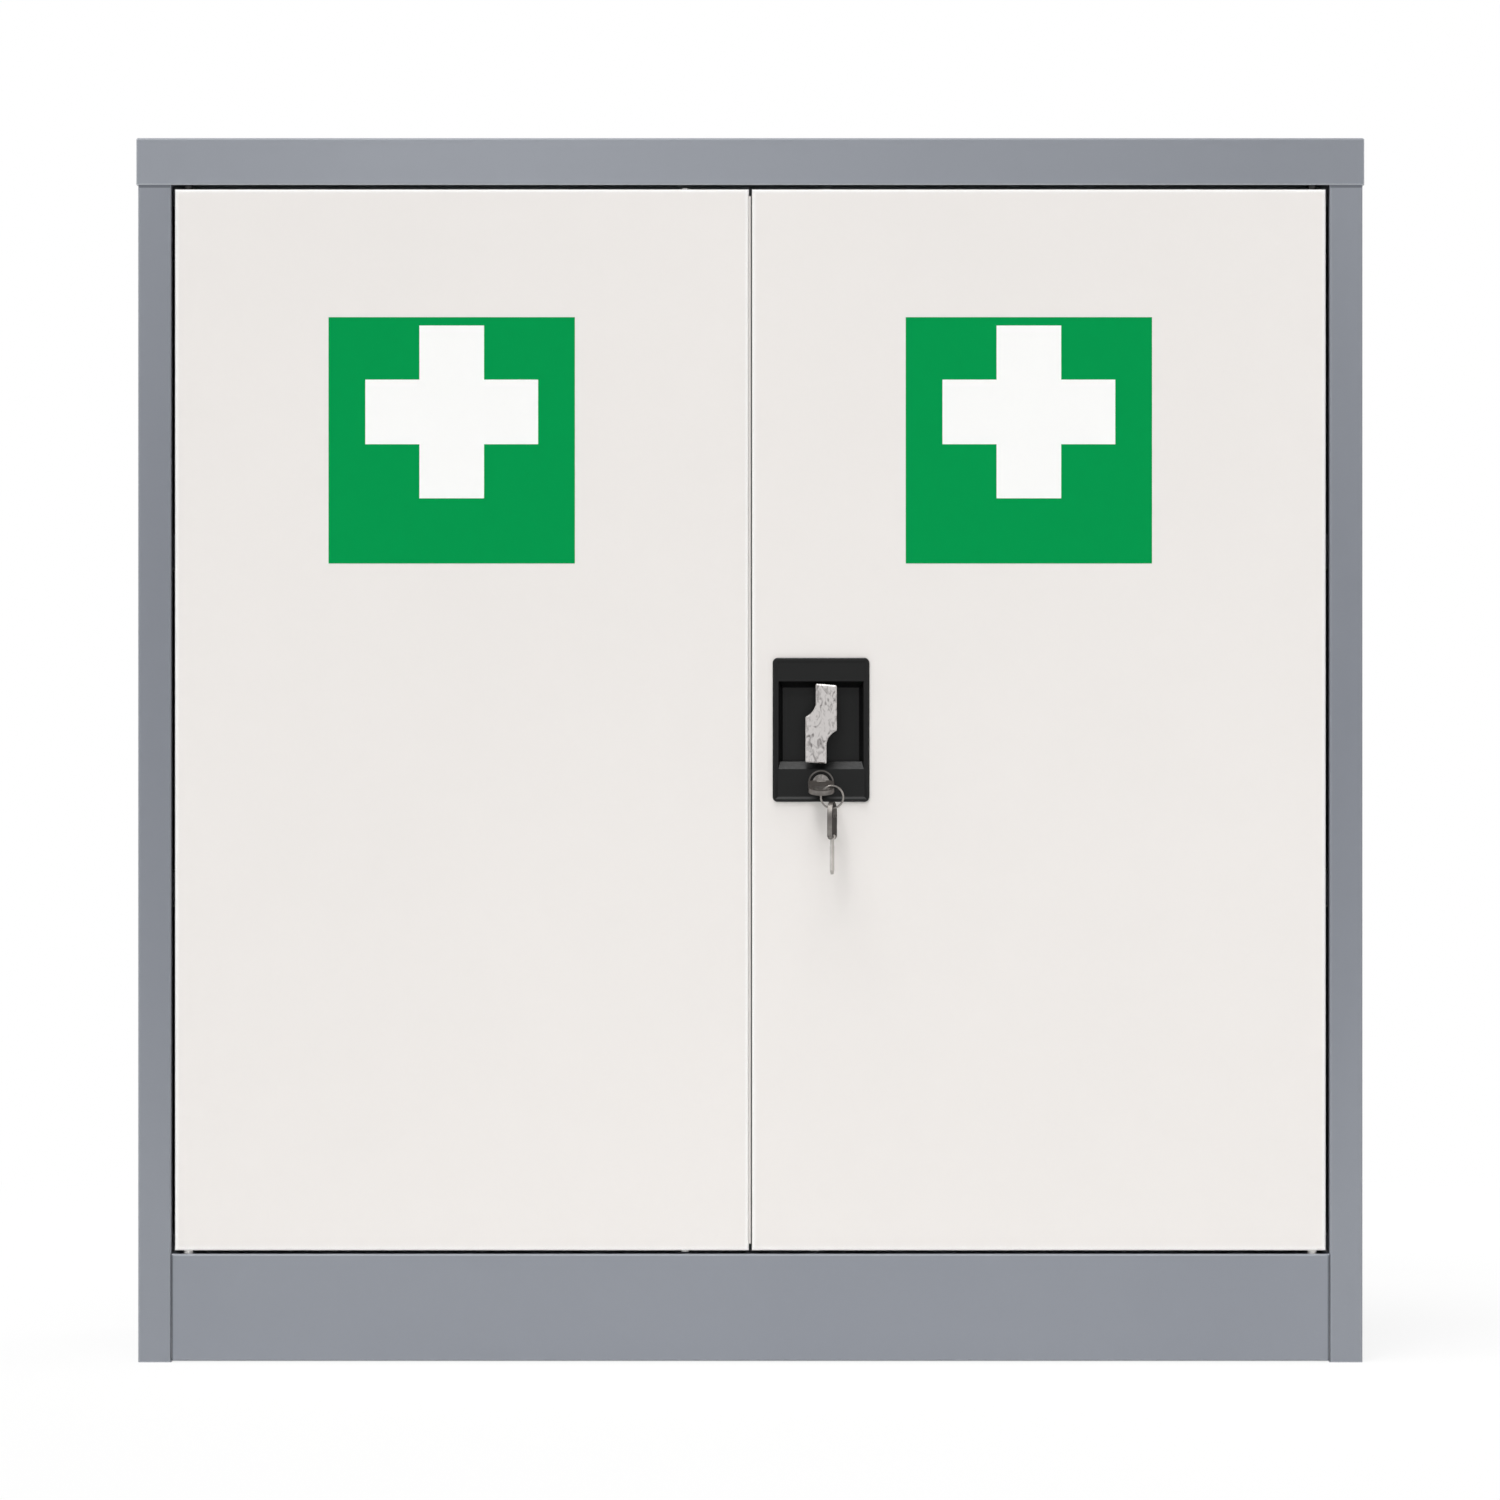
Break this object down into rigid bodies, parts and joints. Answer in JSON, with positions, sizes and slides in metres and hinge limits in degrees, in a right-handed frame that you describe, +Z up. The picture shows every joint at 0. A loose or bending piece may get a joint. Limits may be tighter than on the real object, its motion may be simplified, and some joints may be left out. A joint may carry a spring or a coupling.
{
  "type": "first aid cabinet",
  "caption": "Free-standing steel first aid cabinet with hinged inset doors, a recessed turn handle driving rods, a key lock and shelves on slotted uprights.",
  "frame": {"origin": "on the floor, at the middle of the whole cabinet's box with its key", "axes": "+X to the right seen from the front, +Y to the back, +Z up"},
  "size_m": [0.9024, 0.4398, 0.9],
  "materials": {
    "frame_enamel": "blue-grey powder coat, low gloss",
    "door_enamel": "off-white powder coat, low gloss",
    "zinc_steel": "bright zinc plate",
    "chrome": "dull chrome on a lightly pitted casting",
    "key_steel": "nickel plate, handled",
    "black_plastic": "moulded, fine grain",
    "white_nylon": "moulded",
    "grey_strip": "extruded",
    "rubber": "moulded"
  },
  "bodies": {
    "carcass": {"left_side_panel": "frame_enamel", "right_side_panel": "frame_enamel", "back_panel": "frame_enamel", "top_panel": "frame_enamel", "base_panel": "frame_enamel", "front_left_upright": "frame_enamel", "front_right_upright": "frame_enamel", "rear_left_upright": "frame_enamel", "rear_right_upright": "frame_enamel", "lower_shelf": "frame_enamel", "upper_shelf": "frame_enamel", "shelf_clips": "zinc_steel", "pivot_bushes": "white_nylon", "door_buffers": "rubber"},
    "left_door": {"left_door_panel": "door_enamel", "left_door_stiffener": "door_enamel", "left_meeting_strip": "grey_strip", "left_pivot_pins": "zinc_steel", "left_pivot_brackets": "zinc_steel", "left_bolt_guides": "white_nylon"},
    "upper_bolt": {"upper_bolt": "zinc_steel"},
    "lower_bolt": {"lower_bolt": "zinc_steel"},
    "right_door": {"right_door_panel": "door_enamel", "right_door_stiffener": "door_enamel", "right_pivot_pins": "zinc_steel", "right_pivot_brackets": "zinc_steel", "lock_plate": "black_plastic", "lock_back_plate": "zinc_steel", "lock_barrel": "chrome", "barrel_nut": "zinc_steel", "rod_guides": "white_nylon"},
    "handle": {"turn_handle": "chrome", "handle_spindle": "zinc_steel", "spindle_washer": "zinc_steel", "crank_plate": "zinc_steel", "crank_pins": "zinc_steel"},
    "upper_rod": {"upper_rod": "zinc_steel"},
    "lower_rod": {"lower_rod": "zinc_steel"},
    "key": {"key_plug": "key_steel", "lock_tongue": "zinc_steel", "key_blade": "key_steel"},
    "key_bow": {"key_bow": "key_steel", "key_bow_pin": "key_steel"},
    "key_ring": {"key_ring": "key_steel"},
    "spare_key": {"spare_key_bow": "key_steel", "spare_key_pin": "key_steel"},
    "spare_blade": {"spare_key_blade": "key_steel"}
  },
  "joints": [
    {"name": "left_door_swing", "type": "hinge", "parent": "carcass", "child": "left_door", "pos_m": [-0.41325, -0.17408, 0.47225], "axis": [0, 0, -1], "range_deg": [0, 110]},
    {"name": "right_door_swing", "type": "hinge", "parent": "carcass", "child": "right_door", "pos_m": [0.41325, -0.17408, 0.47225], "axis": [0, 0, 1], "range_deg": [0, 110]},
    {"name": "upper_bolt_slide", "type": "slide", "parent": "left_door", "child": "upper_bolt", "axis": [0, 0, 1], "range_m": [0, 0.012]},
    {"name": "lower_bolt_slide", "type": "slide", "parent": "left_door", "child": "lower_bolt", "axis": [0, 0, -1], "range_m": [0, 0.012]},
    {"name": "handle_turn", "type": "hinge", "parent": "right_door", "child": "handle", "pos_m": [0.05195, -0.18008, 0.4694], "axis": [0, -1, 0], "range_deg": [0, 90]},
    {"name": "upper_rod_slide", "type": "slide", "parent": "right_door", "child": "upper_rod", "axis": [0, 0, 1], "range_m": [0, 0.0128]},
    {"name": "lower_rod_slide", "type": "slide", "parent": "right_door", "child": "lower_rod", "axis": [0, 0, -1], "range_m": [0, 0.0128]},
    {"name": "key_turn", "type": "hinge", "parent": "right_door", "child": "key", "pos_m": [0.05195, -0.18008, 0.4259], "axis": [0, 1, 0], "range_deg": [0, 90]},
    {"name": "bow_fold", "type": "hinge", "parent": "key", "child": "key_bow", "pos_m": [0.05195, -0.19328, 0.4259], "axis": [-1, 0, 0], "range_deg": [0, 36]},
    {"name": "ring_swing", "type": "hinge", "parent": "key_bow", "child": "key_ring", "pos_m": [0.05975, -0.21035, 0.42068], "axis": [0, 1, 0], "range_deg": [-110, 30]},
    {"name": "spare_key_swing", "type": "hinge", "parent": "key_ring", "child": "spare_key", "pos_m": [0.05975, -0.21035, 0.40753], "axis": [-1, 0, 0], "range_deg": [-12, 60]},
    {"name": "spare_blade_fold", "type": "hinge", "parent": "spare_key", "child": "spare_blade", "pos_m": [0.05975, -0.21035, 0.38663], "axis": [0.2079, 0.9781, 0], "range_deg": [-18, 18]}
  ],
  "couplings": [
    {"joint": "upper_rod_slide", "follows": "handle_turn", "m_per_rad": 0.0081028},
    {"joint": "lower_rod_slide", "follows": "handle_turn", "m_per_rad": 0.0081028}
  ]
}
